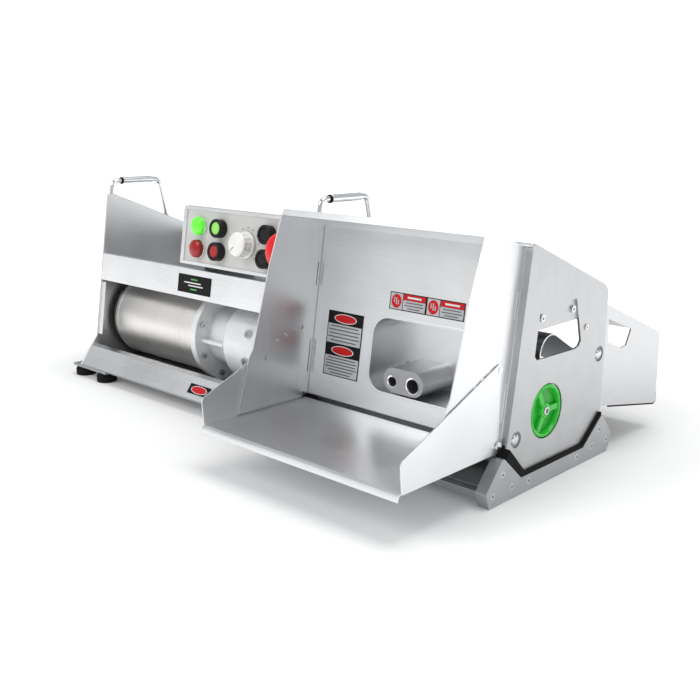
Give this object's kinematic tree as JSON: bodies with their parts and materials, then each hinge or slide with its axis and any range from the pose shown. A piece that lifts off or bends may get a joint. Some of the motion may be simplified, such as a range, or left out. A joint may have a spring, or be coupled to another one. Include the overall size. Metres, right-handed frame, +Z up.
{
  "type": "powered bench-top feed-through roller machine",
  "caption": "Stainless bench-top roller machine: drive unit with controls and motor beside a hooded feed head with tilting tray, guide ports, hand wheel and rear chute.",
  "frame": {"origin": "centre of the underside of the bounding box, on the bench", "axes": "X along the machine with the feed head at +X, -Y the operator's side, Z up"},
  "size_m": [0.934, 0.606, 0.3573],
  "materials": {
    "satin_sheet": "fine brushed satin stainless sheet",
    "bright_sheet": "bright brushed stainless sheet",
    "polished_rod": "polished rod and screws",
    "milled_block": "milled, lightly blasted",
    "motor_skin": "turned, circumferential brushing",
    "dark_steel": "dark machined steel",
    "copper_winding": "wound copper in varnished laminations",
    "white_enamel": "gloss white",
    "bronze": "machined",
    "black_rubber": "matte",
    "black_plastic": "semi-gloss",
    "grey_panel": "satin light grey",
    "green_cap": "semi-gloss",
    "red_cap": "semi-gloss",
    "stop_red": "semi-gloss",
    "pilot_lens": "ribbed lenses, one green and one red",
    "white_knob": "semi-gloss",
    "wheel_green": "gloss",
    "printed_label": "printed film"
  },
  "bodies": {
    "frame": {"drive_left_side": "bright_sheet", "drive_right_side": "satin_sheet", "cross_panel": "bright_sheet", "lip_panel": "bright_sheet", "base_floor": "satin_sheet", "rear_panel": "satin_sheet", "bay_deck": "satin_sheet", "speed_drive": "dark_steel", "power_inlet": "black_plastic", "control_box": "bright_sheet", "control_face": "grey_panel", "pilot_lights": "pilot_lens", "button_bezels": "black_plastic", "contact_blocks": "black_plastic", "labels": "printed_label", "grab_handles": "polished_rod", "handle_grips": "bright_sheet", "rubber_feet": "black_rubber", "motor_shell": "motor_skin", "motor_end_bell": "dark_steel", "motor_stator": "copper_winding", "gearbox_flange": "white_enamel", "gearbox_housing": "white_enamel", "gearbox_screws": "polished_rod", "bearings": "dark_steel", "head_left_side": "satin_sheet", "head_right_side": "satin_sheet", "front_panel": "satin_sheet", "pocket_lining": "satin_sheet", "guide_block": "milled_block", "head_cover": "satin_sheet", "head_floor": "satin_sheet", "roller_guard": "bright_sheet", "roller_frames": "dark_steel", "hand_hole_cover": "bright_sheet", "plate_screws": "polished_rod", "hood": "bright_sheet", "pivot_pins": "polished_rod", "discharge_chute": "satin_sheet", "skids": "milled_block", "rubber_trims": "black_rubber", "cradle_base": "dark_steel"},
    "drive_line": {"output_shaft": "polished_rod", "jaw_coupling": "dark_steel", "lower_roller_shaft": "polished_rod", "lower_roller": "dark_steel", "lower_roller_gear": "bronze", "hand_wheel": "wheel_green"},
    "upper_roll": {"upper_roller": "dark_steel", "upper_roller_shaft": "polished_rod", "upper_roller_gear": "bronze"},
    "layshaft_set": {"layshaft": "dark_steel"},
    "rotor": {"motor_rotor": "dark_steel"},
    "tray": {"feed_tray": "bright_sheet"},
    "knob": {"speed_knob": "white_knob"},
    "green_cap": {"green_button": "green_cap"},
    "red_cap": {"red_button": "red_cap"},
    "upper_black_cap": {"upper_black_button": "black_plastic"},
    "lower_black_cap": {"lower_black_button": "black_plastic"},
    "stop_head": {"stop_mushroom": "stop_red"}
  },
  "joints": [
    {"name": "motor_spin", "type": "hinge", "parent": "frame", "child": "rotor", "pos_m": [-0.3, -0.016, 0.097], "axis": [1, 0, 0], "continuous": true},
    {"name": "layshaft_spin", "type": "hinge", "parent": "frame", "child": "layshaft_set", "pos_m": [-0.07, -0.016, 0.127], "axis": [1, 0, 0], "continuous": true},
    {"name": "lower_roller_spin", "type": "hinge", "parent": "frame", "child": "drive_line", "pos_m": [0.3, -0.016, 0.097], "axis": [1, 0, 0], "continuous": true},
    {"name": "upper_roller_spin", "type": "hinge", "parent": "frame", "child": "upper_roll", "pos_m": [0.3, -0.016, 0.1374], "axis": [1, 0, 0], "continuous": true},
    {"name": "tray_tilt", "type": "hinge", "parent": "frame", "child": "tray", "pos_m": [0.277, -0.114, 0.072], "axis": [1, 0, 0], "range_deg": [0, 16.5]},
    {"name": "speed_knob_turn", "type": "hinge", "parent": "frame", "child": "knob", "pos_m": [-0.0473, -0.08835, 0.273], "axis": [0, 0.9877, -0.1564], "range_deg": [0, 270]},
    {"name": "green_button_press", "type": "slide", "parent": "frame", "child": "green_cap", "axis": [0, 0.9877, -0.1564], "range_m": [0, 0.003], "stiffness_N_per_m": 800, "springref_m": -0.001},
    {"name": "red_button_press", "type": "slide", "parent": "frame", "child": "red_cap", "axis": [0, 0.9877, -0.1564], "range_m": [0, 0.003], "stiffness_N_per_m": 800, "springref_m": -0.001},
    {"name": "upper_black_button_press", "type": "slide", "parent": "frame", "child": "upper_black_cap", "axis": [0, 0.9877, -0.1564], "range_m": [0, 0.003], "stiffness_N_per_m": 800, "springref_m": -0.001},
    {"name": "lower_black_button_press", "type": "slide", "parent": "frame", "child": "lower_black_cap", "axis": [0, 0.9877, -0.1564], "range_m": [0, 0.003], "stiffness_N_per_m": 800, "springref_m": -0.001},
    {"name": "stop_press", "type": "slide", "parent": "frame", "child": "stop_head", "axis": [0, 0.9877, -0.1564], "range_m": [0, 0.005], "stiffness_N_per_m": 1500, "springref_m": -0.001}
  ],
  "couplings": [
    {"joint": "layshaft_spin", "follows": "motor_spin", "ratio": -0.33333},
    {"joint": "lower_roller_spin", "follows": "motor_spin", "ratio": 0.11111},
    {"joint": "upper_roller_spin", "follows": "motor_spin", "ratio": -0.11111}
  ]
}
